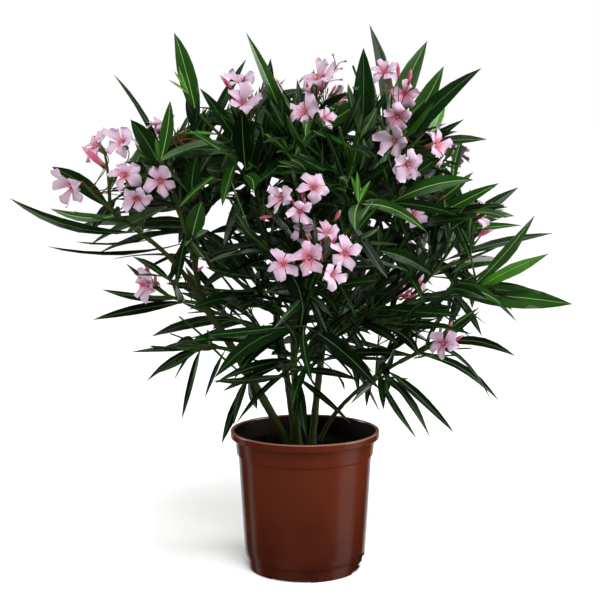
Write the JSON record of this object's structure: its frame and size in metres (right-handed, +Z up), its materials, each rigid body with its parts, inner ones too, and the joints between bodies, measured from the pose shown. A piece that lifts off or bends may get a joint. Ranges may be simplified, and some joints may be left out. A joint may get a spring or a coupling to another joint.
{
  "type": "potted oleander",
  "caption": "Flowering oleander shrub with pale pink blossom, standing in a round terracotta-coloured plastic nursery pot",
  "frame": {"origin": "centre of the pot's flat underside", "axes": "+X to the right seen from the open side of the crown, +Y away from that side, +Z up"},
  "size_m": [0.755, 0.5892, 0.766],
  "materials": {
    "pot_plastic": "satin terracotta-coloured injection-moulded plastic",
    "compost": "dark moist potting compost",
    "bark": "smooth olive-green to brown young bark with leaf scars",
    "foliage": "leathery dark green leaves with pale midribs, pale pink blossom"
  },
  "bodies": {
    "root": {"pot": "pot_plastic", "root_ball": "compost", "stem_left": "bark", "stem_centre": "bark", "stem_back": "bark", "stem_right": "bark", "branch_low": "bark", "bough_left_up": "bark", "bough_left_out": "bark", "bough_front": "bark", "bough_crown_left": "bark", "bough_crown_centre": "bark", "bough_crown_right": "bark", "bough_crown_middle": "bark", "bough_right_up": "bark", "bough_right_out": "bark", "bough_back_left": "bark", "bough_back_up": "bark", "bough_back_right": "bark", "foliage_left_tip": "foliage", "foliage_left_mid": "foliage", "foliage_left_crown": "foliage", "foliage_left_low": "foliage", "foliage_left_skirt": "foliage", "foliage_front_low": "foliage", "foliage_front_flowers": "foliage", "foliage_front_upper": "foliage", "foliage_crown_left": "foliage", "foliage_crown_centre": "foliage", "foliage_crown_middle": "foliage", "foliage_crown_right": "foliage", "foliage_right_up": "foliage", "foliage_right_mid": "foliage", "foliage_right_far": "foliage", "foliage_right_low": "foliage", "foliage_right_skirt": "foliage", "foliage_inner_right": "foliage", "foliage_inner_left": "foliage", "foliage_back_left": "foliage", "foliage_back_crown": "foliage", "foliage_back_right": "foliage", "foliage_back_middle": "foliage", "foliage_back_low_left": "foliage", "foliage_back_low_right": "foliage"}
  },
  "joints": []
}
